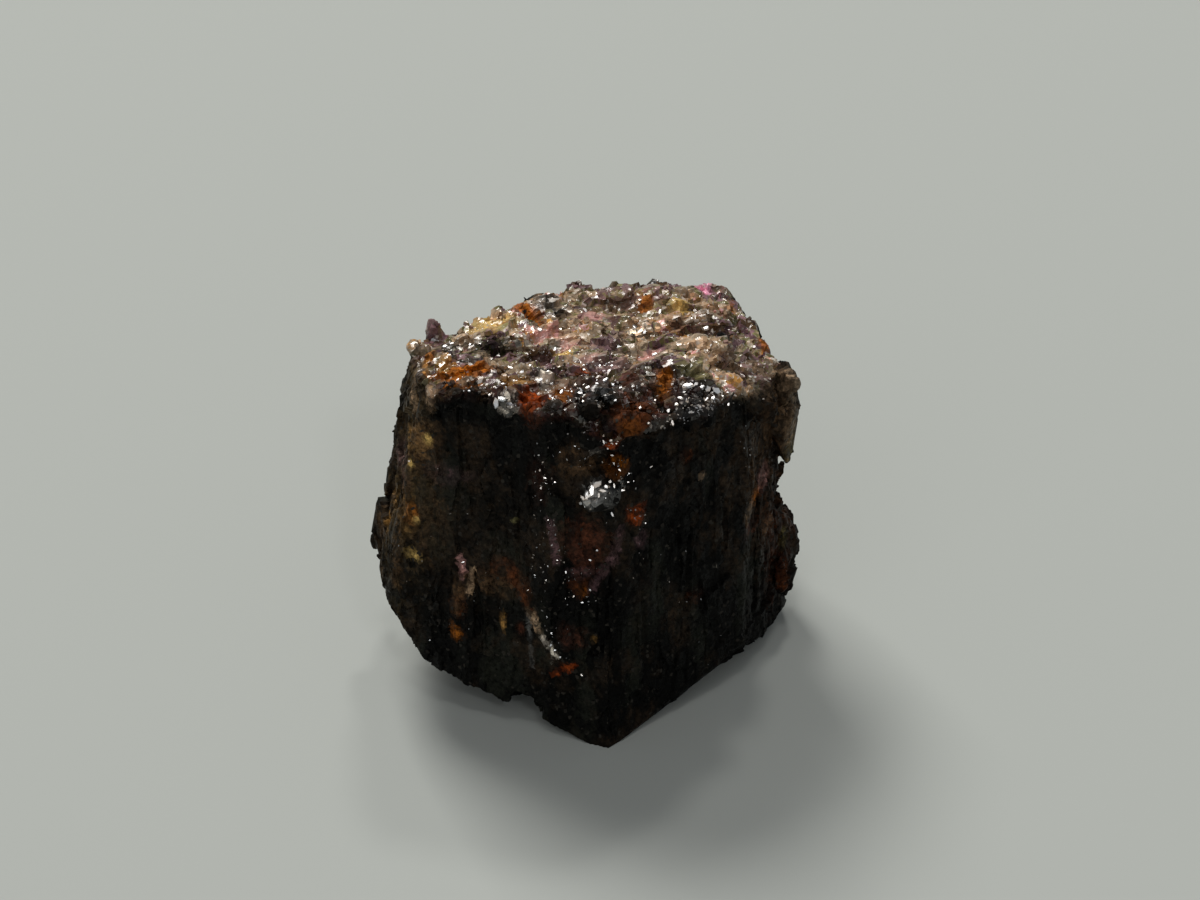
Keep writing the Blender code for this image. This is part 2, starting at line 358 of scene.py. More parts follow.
print("stray bits taken out:", keep_largest_body(skin))

# %% [markdown]
# ## Where the colours are
# The stone is nearly black where light can't get through it and amber, red or pink where it can, near its edges
# and in its grains. One way is to draw an image, but that ties the colours to one picture. Here each patch is a
# soft egg of colour in space with a place, a size and a strength. Noise bends the eggs out of shape, and the
# facets that they catch take the colour whole, so the borders follow the crystal. Thin streaks are added last.

# %% Colours, in linear light
PAINTS = {
    "coal": (0.0018, 0.0017, 0.0013), "glass": (0.008, 0.008, 0.008), "moss": (0.012, 0.013, 0.009),
    "bark": (0.030, 0.019, 0.011), "earth": (0.10, 0.066, 0.030), "umber": (0.11, 0.060, 0.028),
    "russet": (0.085, 0.024, 0.007), "garnet": (0.075, 0.024, 0.013), "wine": (0.050, 0.018, 0.015),
    "honey": (0.42, 0.22, 0.06), "gold": (0.75, 0.50, 0.16), "amber": (0.40, 0.120, 0.010),
    "ember": (0.26, 0.044, 0.005), "plum": (0.19, 0.105, 0.115), "rose": (0.70, 0.36, 0.33),
    "pink": (0.80, 0.36, 0.50), "cream_and_glint": (0.75, 0.68, 0.58), "steel": (0.24, 0.235, 0.225),
    "olive": (0.19, 0.17, 0.07), "tan": (0.50, 0.33, 0.20), "sand": (0.34, 0.25, 0.165)}
# The paints in this set are also painted lighter or darker facet by facet, from a tenth to three times their
# colour: partly random tone, partly painted glints.
CLEAR_WITH_PAINTED_GLINTS = {"glass", "steel", "cream_and_glint"}  # these get the glassy finish, also on the walls
MATT = {"coal", "amber", "ember", "russet", "wine", "garnet"}  # these get the walls' finish, also on the crown

# Each facet of the crown draws its colour from one of these lists of paints and shares, from dark to light: the
# first far from the front rim, the second near it, where the stone is darker.
CROWN_MIX = (("coal", 0.05), ("bark", 0.08), ("wine", 0.05), ("umber", 0.16), ("plum", 0.13), ("olive", 0.08),
             ("sand", 0.18), ("tan", 0.14), ("honey", 0.05), ("rose", 0.05), ("cream_and_glint", 0.03))
RIM_MIX = (("coal", 0.28), ("bark", 0.24), ("wine", 0.12), ("garnet", 0.10), ("umber", 0.14), ("russet", 0.08),
           ("plum", 0.04))

# Broad washes: paint, place, reach (both in millimetres from the foot of the front edge), strength.
WASHES = (
    ("earth", (-4.3, 2.4, 5.4), (0.8, 1.3, 1.9), 0.75),
    ("bark", (-3.0, 1.5, 4.4), (1.3, 0.8, 1.6), 0.55),
    ("earth", (-4.4, 3.0, 2.9), (0.7, 1.3, 1.2), 0.4),
    ("umber", (3.5, 3.6, 5.6), (0.5, 1.3, 1.6), 0.55),
    ("russet", (3.7, 4.2, 2.6), (0.5, 1.2, 1.6), 0.4),
    ("garnet", (-0.45, 0.5, 5.1), (0.55, 0.5, 0.6), 0.75),
    ("tan", (0.2, 6.0, 7.3), (1.8, 1.0, 0.6), 0.25),
    ("coal", (-3.05, 1.45, 8.15), (0.55, 0.35, 0.35), 0.9),
    ("coal", (-2.55, 1.3, 8.02), (0.35, 0.3, 0.3), 0.8),
    ("sand", (3.86, 4.34, 6.39), (0.4, 0.6, 0.45), 0.75),
    ("sand", (3.95, 4.2, 5.6), (0.3, 0.6, 0.6), 0.5),
    ("olive", (3.95, 4.28, 4.75), (0.25, 0.5, 0.35), 0.5),
    # Painted shade: darker in the hollow at the right, beside the upper lump.
    ("coal", (3.4, 3.3, 6.2), (0.25, 0.45, 0.55), 0.75),
    ("plum", (-4.28, 2.38, 5.56), (0.25, 0.5, 0.35), 0.4),
    ("umber", (-4.76, 3.36, 3.41), (0.3, 0.5, 0.5), 0.5),
    ("honey", (-4.11, 2.28, 6.41), (0.22, 0.5, 0.35), 0.5),
    ("garnet", (3.07, 3.04, 3.59), (0.25, 0.4, 0.3), 0.6),
    ("bark", (-0.5, 0.6, 6.6), (0.7, 0.6, 0.6), 0.7),
    ("earth", (-3.95, 2.9, 7.2), (0.5, 1.2, 0.9), 0.7),
    ("coal", (0.0, 1.0, 8.1), (0.45, 0.5, 0.3), 0.7),
    ("coal", (0.0, 0.45, 7.9), (0.28, 0.3, 0.3), 0.85),
    ("umber", (-3.9, 1.75, 6.6), (0.5, 0.5, 0.7), 0.7),
    ("honey", (-3.95, 1.8, 6.75), (0.28, 0.4, 0.4), 0.55),
    ("honey", (-4.25, 1.85, 4.9), (0.25, 0.5, 0.5), 0.45),
    ("honey", (-4.75, 3.0, 4.6), (0.3, 0.6, 0.6), 0.45),
    ("umber", (-2.3, 1.0, 3.6), (0.9, 0.5, 0.35), 0.5),
    ("bark", (-1.9, 0.9, 5.0), (0.6, 0.4, 1.2), 0.35))

# Smaller patches, picked in the photo: paint, kind of face, x, y, half width, half height, strength.
SPOTS = (
    ("plum", "top", 434, 328, 9, 13, 0.90), ("glass", "top", 447, 348, 9, 8, 0.80),
    ("amber", "top", 464, 370, 28, 13, 1.00), ("amber", "wall", 429, 355, 6, 11, 0.80),
    ("tan", "wall", 417, 397, 7, 13, 0.60), ("tan", "wall", 431, 399, 5, 10, 0.60),
    ("honey", "top", 446, 372, 8, 10, 0.80), ("coal", "top", 498, 346, 42, 7, 0.85),
    ("gold", "top", 487, 323, 24, 7, 0.90), ("amber", "top", 530, 313, 17, 9, 0.95),
    ("steel", "top", 548, 305, 18, 10, 0.85), ("coal", "top", 560, 311, 9, 6, 0.80),
    ("rose", "top", 594, 311, 12, 6, 0.85), ("rose", "top", 545, 329, 17, 5, 0.85),
    ("rose", "top", 570, 343, 14, 7, 0.70), ("plum", "top", 602, 340, 20, 10, 0.85),
    ("umber", "top", 626, 301, 13, 9, 0.60), ("amber", "top", 646, 301, 9, 6, 0.80),
    ("cream_and_glint", "top", 636, 329, 9, 5, 0.90), ("olive", "top", 660, 315, 7, 6, 0.80),
    ("gold", "top", 680, 306, 11, 6, 0.85), ("pink", "top", 703, 290, 16, 9, 1.00),
    ("garnet", "top", 676, 331, 16, 8, 0.85), ("tan", "top", 710, 355, 15, 9, 0.80),
    ("rose", "top", 651, 356, 11, 5, 0.85), ("plum", "top", 608, 365, 28, 5, 0.75),
    ("rose", "top", 590, 363, 10, 3, 0.60), ("gold", "top", 563, 357, 8, 5, 0.80),
    ("umber", "top", 540, 360, 16, 6, 0.60), ("coal", "top", 480, 356, 15, 5, 0.50),
    ("ember", "top", 580, 377, 8, 5, 0.90), ("honey", "top", 515, 378, 14, 6, 0.70),
    # The cream patch at the front rim is a cluster of painted glints.
    ("cream_and_glint", "rim", 509, 404, 9, 11, 0.85), ("ember", "rim", 534, 400, 12, 14, 1.00),
    ("amber", "rim", 562, 392, 14, 11, 0.90), ("cream_and_glint", "top", 545, 379, 6, 6, 0.60),
    ("glass", "rim", 590, 395, 28, 16, 0.95), ("garnet", "rim", 629, 380, 11, 11, 0.85),
    ("amber", "rim", 664, 380, 9, 11, 0.85), ("russet", "rim", 636, 417, 20, 17, 0.95),
    ("amber", "rim", 630, 432, 10, 10, 0.25), ("coal", "rim", 591, 413, 17, 8, 0.85),
    ("glass", "rim", 697, 400, 26, 16, 0.90), ("olive", "top", 693, 372, 13, 5, 0.80),
    ("tan", "top", 724, 360, 13, 9, 0.60), ("sand", "rim", 750, 372, 20, 25, 0.25),
    ("amber", "rim", 764, 345, 6, 11, 0.70), ("umber", "rim", 780, 385, 9, 22, 0.70),
    ("amber", "top", 728, 306, 7, 7, 0.70), ("umber", "top", 700, 318, 14, 7, 0.60),
    ("coal", "top", 720, 340, 9, 5, 0.60), ("honey", "wall", 427, 375, 5, 20, 0.70),
    ("umber", "wall", 421, 442, 13, 18, 0.85), ("gold", "wall", 428, 438, 5, 6, 0.90),
    ("gold", "wall", 411, 458, 4, 5, 0.80), ("plum", "wall", 403, 455, 8, 14, 0.50),
    ("plum", "wall", 446, 474, 24, 9, 0.35), ("amber", "wall", 412, 512, 7, 10, 0.80),
    ("gold", "wall", 416, 519, 4, 4, 0.90), ("honey", "wall", 391, 525, 6, 9, 0.80),
    ("olive", "wall", 515, 519, 4, 3, 0.90), ("gold", "wall", 412, 553, 9, 5, 0.90),
    ("umber", "wall", 405, 490, 12, 60, 0.45), ("umber", "wall", 396, 560, 9, 30, 0.45),
    ("umber", "wall", 430, 520, 20, 40, 0.30), ("russet", "wall", 504, 571, 22, 13, 0.55),
    ("rose", "wall", 462, 568, 3, 9, 0.75), ("tan", "wall", 471, 580, 3, 13, 0.65),
    ("russet", "wall", 459, 605, 8, 12, 0.60), ("amber", "wall", 456, 630, 6, 9, 0.70),
    ("honey", "wall", 503, 622, 3, 9, 0.75), ("garnet", "wall", 521, 629, 5, 7, 0.80),
    ("tan", "wall", 535, 618, 3, 13, 0.60), ("russet", "wall", 526, 593, 6, 14, 0.60),
    # The thin cream patch at 552, 655 is a painted highlight along a bright edge.
    ("moss", "wall", 541, 656, 9, 14, 0.90), ("cream_and_glint", "wall", 552, 655, 2, 9, 0.50),
    ("russet", "wall", 567, 667, 7, 4, 0.80), ("honey", "wall", 594, 638, 4, 4, 0.50),
    ("garnet", "wall", 572, 640, 18, 10, 0.70), ("garnet", "wall", 588, 549, 16, 24, 0.85),
    ("russet", "wall", 585, 530, 14, 16, 0.35), ("plum", "wall", 580, 573, 14, 5, 0.25),
    ("russet", "wall", 580, 588, 12, 10, 0.85), ("amber", "wall", 582, 592, 7, 5, 0.40),
    # The steel and glass patches below make the bright faceted lump; its light facets are partly painted glints.
    ("steel", "wall", 594, 495, 18, 11, 0.80), ("glass", "wall", 606, 490, 18, 12, 0.75),
    ("glass", "wall", 617, 490, 13, 11, 0.85), ("umber", "wall", 577, 460, 20, 15, 0.60),
    ("steel", "wall", 591, 453, 8, 6, 0.50),
    ("ember", "wall", 612, 447, 9, 6, 0.90), ("amber", "wall", 616, 466, 11, 9, 0.75),
    ("ember", "wall", 636, 516, 10, 9, 0.95), ("plum", "wall", 640, 538, 6, 7, 0.60),
    ("garnet", "wall", 540, 478, 12, 20, 0.40), ("umber", "wall", 565, 470, 8, 8, 0.50),
    ("russet", "wall", 686, 455, 6, 7, 0.60), ("bark", "wall", 709, 449, 15, 12, 0.70),
    ("tan", "wall", 702, 476, 3, 4, 0.60), ("rose", "wall", 763, 480, 6, 12, 0.55),
    ("amber", "wall", 757, 497, 7, 8, 0.45), ("tan", "wall", 750, 514, 7, 8, 0.45),
    ("tan", "wall", 767, 522, 7, 8, 0.50), ("umber", "wall", 752, 482, 13, 16, 0.60),
    ("russet", "wall", 765, 525, 20, 17, 0.60), ("olive", "wall", 783, 538, 5, 11, 0.50),
    ("russet", "wall", 783, 576, 8, 18, 0.75), ("russet", "wall", 695, 597, 10, 8, 0.35),
    # The tiny cream dot at 715, 567 is a painted glint.
    ("cream_and_glint", "wall", 715, 567, 2, 2, 0.60), ("umber", "wall", 788, 430, 7, 40, 0.55),
    ("umber", "wall", 775, 500, 14, 50, 0.25), ("bark", "wall", 640, 600, 12, 30, 0.40))

# Thin coloured edges of the upright plates: paint, both ends in the photo, half width in mm, strength.
STREAKS = (
    ("rose", (461, 559), (462, 571), 0.12, 0.75),
    ("umber", (461, 574), (457, 609), 0.16, 0.60),
    ("tan", (474, 568), (469, 591), 0.09, 0.70),
    ("russet", (513, 574), (528, 609), 0.15, 0.65),
    ("tan", (528, 609), (537, 629), 0.09, 0.55),
    ("sand", (534, 616), (542, 636), 0.07, 0.45),
    # The cream streak is a painted highlight along the plate's edge.
    ("cream_and_glint", (542, 636), (557, 658), 0.07, 0.45),
    ("ember", (553, 674), (573, 666), 0.10, 0.80),
    ("steel", (528, 616), (532, 667), 0.07, 0.30),
    ("moss", (544, 443), (551, 520), 0.13, 0.70),
    ("plum", (551, 520), (557, 560), 0.12, 0.40),
    ("plum", (620, 530), (612, 560), 0.13, 0.35),
    ("plum", (612, 560), (592, 587), 0.12, 0.35))

# %% Helpers for painting
def patch(kind, x, y, wide, high):
    """Middle and reach in mm of a patch on a level (top), sloping (rim) or upright (wall) face."""
    # A face that the camera sees at a slant is longer than it looks, by its lean.
    wide, high = wide * POINT, high * POINT
    reach = {"top": (wide, high / 0.42, 0.35), "rim": (wide, max(high / 0.6, 0.3), max(high / 0.8, 0.3)),
             "wall": (wide, 0.4, high / 0.82)}[kind]
    return seen_at(x, y), reach


def mixed_paint(draw, mix):
    """The paint that each number from 0 to 1 draws from a list."""
    shares = np.array([share for _, share in mix])
    found = np.searchsorted(np.cumsum(shares / shares.sum()), draw).clip(0, len(mix) - 1)
    return np.array([PAINTS[name] for name, _ in mix])[found]


# %% Paint the crown and the walls
faces = len(skin.polygons)
middle = np.empty(faces * 3, np.float32)
skin.polygons.foreach_get("center", middle)
middle = middle.reshape(-1, 3).astype(float)

crown = crown_share(middle)
# The numbers of the facet that each face of the mesh lies on: coarse and fine ones on the crown, upright ones.
large, small, streak = (humps(middle, *kind)[1] for kind in (CROWN_HUMPS[1], CROWN_HUMPS[2], WALL_HUMPS[1]))
draw = 0.5 + 0.5 * noise(middle, (0.6, 0.5, 0.5), 34) + 0.25 * (large[:, 0] - 0.5) + 0.2 * (small[:, 1] - 0.5)
rim = smooth(middle[:, 1] + 0.5 * noise(middle, 0.5, 33), 2.9, 1.6)[:, None]  # 1 near the front rim
top_paint = mixed_paint(draw, CROWN_MIX) * (1 - rim) + mixed_paint(draw, RIM_MIX) * rim
top_paint *= (0.7 + 0.75 * small[:, 2])[:, None]

# Two fine noises ruffle what lies on the walls, which are coal with moss and brown bark on it.
grit = noise(middle, 0.08, 42)
blot = noise(middle, (0.15, 0.15, 0.26), 43)
moss = smooth(noise(middle, (0.5, 0.5, 1.4), 31) + 0.5 * (streak[:, 0] - 0.5), 0.1, 0.9)[:, None]
wall_paint = np.array(PAINTS["coal"]) * (1 - moss) + np.array(PAINTS["moss"]) * moss
brown = smooth(noise(middle, (0.7, 0.7, 1.0), 32) + 0.5 * blot + 0.3 * (streak[:, 1] - 0.5), -0.05, 0.85)
brown = (brown * (0.5 + 0.5 * smooth(grit, -0.5, 0.5)))[:, None]
wall_paint = wall_paint * (1 - brown) + np.array(PAINTS["bark"]) * brown
paint = top_paint * crown[:, None] + wall_paint * (1 - crown[:, None])
glassy = crown.copy()

# %% Lay the patches and streaks over them
washes = list(WASHES)
for name, kind, x, y, wide, high, strength in SPOTS:
    washes.append((name, *patch(kind, x, y, wide, high), strength))
for name, place, reach, strength in washes:
    # How far each face is from the patch's middle, in reaches. Only the close ones are worked on.
    near = np.sqrt((((middle - place) / reach) ** 2).sum(1))
    close = near < 2.4
    near = near[close] + 0.35 * blot[close] + 0.4 * (small[close, 0] - 0.5)
    share = strength * (1 - smooth(near, 0.5, 1.5))
    share *= 1 - 0.75 * (1 - crown[close]) * smooth(blot[close] + 0.4 * grit[close], 0.35, -0.35)
    facet = small[close, 1:2]
    # Glassy paints vary strongly from facet to facet: the light facets are partly painted glints, standing in for
    # facets that catch the lamp.
    varied = np.array(PAINTS[name]) * (0.1 + 3.0 * facet ** 3 if name in CLEAR_WITH_PAINTED_GLINTS else 0.65 + 0.7 * facet)
    paint[close] = paint[close] * (1 - share[:, None]) + varied * share[:, None]
    if name in CLEAR_WITH_PAINTED_GLINTS:
        glassy[close] = np.maximum(glassy[close], share * 1.2)
    if name in MATT:
        glassy[close] *= 1 - share

DEPTH_COUNTS = np.array((1, 0.3, 1))  # less along y, so that a streak keeps its width where the relief is deep
for name, first, last, half, strength in STREAKS:
    away, _ = from_line(middle * DEPTH_COUNTS, seen_at(*first) * DEPTH_COUNTS, seen_at(*last) * DEPTH_COUNTS)
    share = (1 - smooth(away / half + 0.4 * grit, 0.3, 1.1)) * (0.35 + 0.65 * smooth(blot, -0.5, 0.3))
    share = strength * share[:, None]
    paint = paint * (1 - share) + np.array(PAINTS[name]) * (0.5 + small[:, 1:2]) * share
print("painted", faces, "facets with", len(washes), "patches and", len(STREAKS), "streaks")

# %% Keep the colours and the roughness on the mesh
def keep(mesh, name, values):
    """Stores one number for each face, or one colour."""
    if values.ndim == 1:
        mesh.attributes.new(name, "FLOAT", "FACE").data.foreach_set("value", values.astype(np.float32))
    else:
        full = np.column_stack((values, np.ones(len(values)))).astype(np.float32)
        mesh.attributes.new(name, "FLOAT_COLOR", "FACE").data.foreach_set("color", full.ravel())


keep(skin, "paint", paint)
keep(skin, "rough", np.where(glassy > 0.5, 0.05 + 0.15 * small[:, 0] ** 2, 0.42 + 0.25 * streak[:, 2]))

# %% [markdown]
# ## Two finishes
# The crown is glassy and the walls are nearly matt, so there are two materials. Both read the colour and the
# roughness of each facet from the mesh and add what is too small for it: chips of a fifteenth of a millimetre
# that each tilt the light another way, mottled colour, and a few pale specks that are painted glints. These could
# be mesh too, but at that size they would take millions of triangles.

# %% Helpers for shader trees
def node(tree, kind, inputs=(), **settings):
    """A new node with its settings and inputs; an input may be a value or another node's output."""
    made = tree.nodes.new(kind)
    for name, value in settings.items():
        setattr(made, name, value)
    for key, value in dict(inputs).items():
        if isinstance(value, bpy.types.NodeSocket):
            tree.links.new(value, made.inputs[key])
        else:
            made.inputs[key].default_value = value
    return made


def maths(tree, operation, a, b=0.0, clamp=False):
    """One sum on two numbers or outputs."""
    return node(tree, "ShaderNodeMath", {0: a, 1: b}, operation=operation, use_clamp=clamp).outputs[0]


def blended(tree, factor, a, b):
    """Two colours, laid over each other."""
    return node(tree, "ShaderNodeMix", {0: factor, 6: a, 7: b}, data_type="RGBA").outputs[2]


def ramp(tree, value, low, high):
    """0 below low and 1 above high."""
    made = node(tree, "ShaderNodeMapRange", {0: value, 1: low, 2: high}, interpolation_type="SMOOTHSTEP")
    return made.outputs[0]


def stored(tree, name, output="Color"):
    """What the mesh keeps under a name."""
    return node(tree, "ShaderNodeAttribute", attribute_name=name).outputs[output]


def place_in_mm(tree):
    """The place on the piece, in millimetres, for patterns."""
    place = node(tree, "ShaderNodeTexCoord").outputs["Object"]
    return node(tree, "ShaderNodeMapping", {"Vector": place, "Scale": (1000, 1000, 1000)}).outputs[0]


def blank_material(name):
    """A material with an empty tree."""
    material = bpy.data.materials.new(name)
    material.use_nodes = True
    material.node_tree.nodes.clear()
    return material, material.node_tree


def surface(tree, inputs):
    """Ends a material's tree with a surface that has these inputs."""
    shader = node(tree, "ShaderNodeBsdfPrincipled", inputs)
    node(tree, "ShaderNodeOutputMaterial", {"Surface": shader.outputs[0]})


# %% The finish of the stone
CHIPS_PER_MM = 15.0
DUST_PER_MM = 9.0


def stone(name, level, index, tilt, contrast, glint_paint):
    """A crystal finish: tilt turns its tiny chips, contrast mottles it, and the last colour is painted on a few
    chips as painted glints.
    """
    material, tree = blank_material(name)
    place = place_in_mm(tree)
    chips = node(tree, "ShaderNodeTexVoronoi", {"Vector": place, "Scale": CHIPS_PER_MM}).outputs["Color"]
    chosen = node(tree, "ShaderNodeSeparateColor", {0: chips}).outputs
    dust = node(tree, "ShaderNodeTexNoise", {
        "Vector": place, "Scale": DUST_PER_MM, "Detail": 5.0, "Roughness": 0.75}).outputs[0]
    mottle = node(tree, "ShaderNodeMapRange", {0: dust, 1: 0.36, 2: 0.64, 3: 1 - contrast, 4: 1 + contrast})
    tint = node(tree, "ShaderNodeVectorMath", {0: stored(tree, "paint"), 3: mottle.outputs[0]},
                operation="SCALE").outputs[0]
    # Painted glints: a few of the tiny chips take the pale colour given last, whatever the light.
    painted_glint_share = maths(tree, "POWER", ramp(tree, chosen[2], 0.90, 1.0), 3.0)
    tint = blended(tree, painted_glint_share, tint, glint_paint)
    rough = maths(tree, "ADD", stored(tree, "rough", "Fac"), maths(tree, "MULTIPLY", chosen[1], 0.15), clamp=True)
    turned = node(tree, "ShaderNodeVectorMath", {0: chips, 1: (2 * tilt,) * 3, 2: (-tilt,) * 3},
                  operation="MULTIPLY_ADD").outputs[0]
    upright = node(tree, "ShaderNodeNewGeometry").outputs["Normal"]
    turned = node(tree, "ShaderNodeVectorMath", {0: upright, 1: turned}, operation="ADD").outputs[0]
    turned = node(tree, "ShaderNodeVectorMath", {0: turned}, operation="NORMALIZE").outputs[0]
    surface(tree, {"Base Color": tint, "Roughness": rough, "Specular IOR Level": level, "IOR": index,
                   "Normal": turned})
    return material


skin.materials.clear()
skin.materials.append(stone("glassy_crown", level=0.35, index=1.8, tilt=0.12, contrast=0.35,
                            glint_paint=(0.50, 0.44, 0.38, 1)))
skin.materials.append(stone("speckled_walls", level=0.07, index=1.6, tilt=0.5, contrast=0.7,
                            glint_paint=(0.035, 0.031, 0.025, 1)))
skin.polygons.foreach_set("material_index", (glassy < 0.5).astype(np.int32))
skin.polygons.foreach_set("use_smooth", np.ones(faces, bool))
skin.set_sharp_from_angle(angle=math.radians(28))

# %% [markdown]
# ## Grains on the crown
# Small grains of pink, gold and clear mineral are grown into the crown. There are several hundred of them, so
# they aren't placed by hand. A Geometry Nodes tree scatters points over the faces marked for them, sets a small
# block on each, turns and stretches it by chance, and makes the result real geometry. The grains keep the colour
# of the place where they sit, because points inherit what is stored on the faces.

# %% Build the grain tree
def group_input(tree, name, kind, value=None):
    """A named input of a node group."""
    made = tree.interface.new_socket(name, in_out="INPUT", socket_type=kind)
    if value is not None:
        made.default_value = value


grain_tree = bpy.data.node_groups.new("grow_grains", "GeometryNodeTree")
group_input(grain_tree, "Geometry", "NodeSocketGeometry")
group_input(grain_tree, "Per square mm", "NodeSocketFloat", 7.0)
group_input(grain_tree, "Smallest", "NodeSocketFloat", 0.025)
group_input(grain_tree, "Largest", "NodeSocketFloat", 0.07)
group_input(grain_tree, "Seed", "NodeSocketInt", 4)
group_input(grain_tree, "Finish", "NodeSocketMaterial")
grain_tree.interface.new_socket("Geometry", in_out="OUTPUT", socket_type="NodeSocketGeometry")
given = node(grain_tree, "NodeGroupInput").outputs
marked = node(grain_tree, "GeometryNodeInputNamedAttribute", {"Name": "grainy"}, data_type="FLOAT").outputs[0]
crowd = maths(grain_tree, "MULTIPLY", given["Per square mm"], marked)
spots = node(grain_tree, "GeometryNodeDistributePointsOnFaces", {
    "Mesh": given["Geometry"], "Density": crowd, "Seed": given["Seed"]})
lump = node(grain_tree, "GeometryNodeMeshCube", {"Size": (1.6, 1.6, 1.6)})
turn = node(grain_tree, "FunctionNodeRandomValue", {1: (TURN, TURN, TURN), "Seed": given["Seed"]},
            data_type="FLOAT_VECTOR").outputs[0]
low, high = (node(grain_tree, "ShaderNodeCombineXYZ", {0: given[name], 1: given[name], 2: given[name]}).outputs[0]
             for name in ("Smallest", "Largest"))
stretch = node(grain_tree, "FunctionNodeRandomValue", {0: low, 1: high, "Seed": given["Seed"]},
               data_type="FLOAT_VECTOR").outputs[0]
grown = node(grain_tree, "GeometryNodeInstanceOnPoints", {
    "Points": spots.outputs["Points"], "Instance": lump.outputs[0], "Rotation": turn, "Scale": stretch})
chance = node(grain_tree, "FunctionNodeRandomValue", {"Seed": 77}, data_type="FLOAT").outputs[1]
tagged = node(grain_tree, "GeometryNodeStoreNamedAttribute", {
    "Geometry": grown.outputs[0], "Name": "luck", "Value": chance}, data_type="FLOAT", domain="INSTANCE")
real = node(grain_tree, "GeometryNodeRealizeInstances", {"Geometry": tagged.outputs[0]})
coated = node(grain_tree, "GeometryNodeSetMaterial", {"Geometry": real.outputs[0], "Material": given["Finish"]})
node(grain_tree, "NodeGroupOutput", {0: coated.outputs[0]})

# %% Grow them
keep(skin, "grainy", smooth(crown, 0.6, 1.0) * (1 - 0.8 * rim[:, 0]))


def grain_finish():
    """Clear to milky grains: the colour of the place, brighter or duller for each grain."""
    material, tree = blank_material("crystal_grains")
    luck = stored(tree, "luck", "Fac")
    strength = node(tree, "ShaderNodeMapRange", {0: luck, 3: 0.5, 4: 1.7}).outputs[0]
    tint = node(tree, "ShaderNodeVectorMath", {0: stored(tree, "paint"), 3: strength},
                operation="SCALE").outputs[0]
    milky = node(tree, "ShaderNodeMapRange", {0: luck, 1: 0.88, 2: 1.0, 3: 0.0, 4: 0.8}).outputs[0]
    tint = blended(tree, milky, tint, (0.75, 0.68, 0.62, 1))
    surface(tree, {"Base Color": tint, "Roughness": 0.12, "IOR": 1.8, "Specular IOR Level": 0.3})
    return material


grains = bpy.data.objects.new("crown_grains", skin.copy())
scene.collection.objects.link(grains)
grow = grains.modifiers.new("grow", "NODES")
grow.node_group = grain_tree
for item in grain_tree.interface.items_tree:
    if item.name == "Finish":
        grow[item.identifier] = grain_finish()
grains.data = applied(grains, [])
print("grains:", len(grains.data.polygons), "faces")

# %% [markdown]
# ## Glints
# Clean little facets flash white where they mirror the light. The brightest of them draw the edges of the blocks
# and ledges, so they have places of their own. A rougher shine all over would be less work, but it veils the
# colours in grey. Each glint is a five-sided chip that sits in the carved skin, turned to mirror a lamp; its
# colour is painted near white, or pale grey for the dim ones, a painted highlight that stays bright from any side.
# A list gives its place in the photo and its size, and a ray from the camera's side finds the skin there.

# %% The finish of a glint
def painted_glint_finish(name, share):
    """Near-white paint on a glossy chip, a painted highlight, a little warmer or cooler from place to place; share
    is how light it is.
    """
    material, tree = blank_material(name)
    drift = node(tree, "ShaderNodeTexNoise", {"Vector": place_in_mm(tree), "Scale": 3.0}).outputs[0]
    warm, cool = (tuple(share * part for part in colour) + (1,)
                  for colour in ((1.0, 0.85, 0.72), (0.84, 0.87, 0.92)))
    tint = blended(tree, ramp(tree, drift, 0.4, 0.6), warm, cool)
    surface(tree, {"Base Color": tint, "Roughness": 0.15, "IOR": 1.8, "Specular IOR Level": 0.5})
    return material


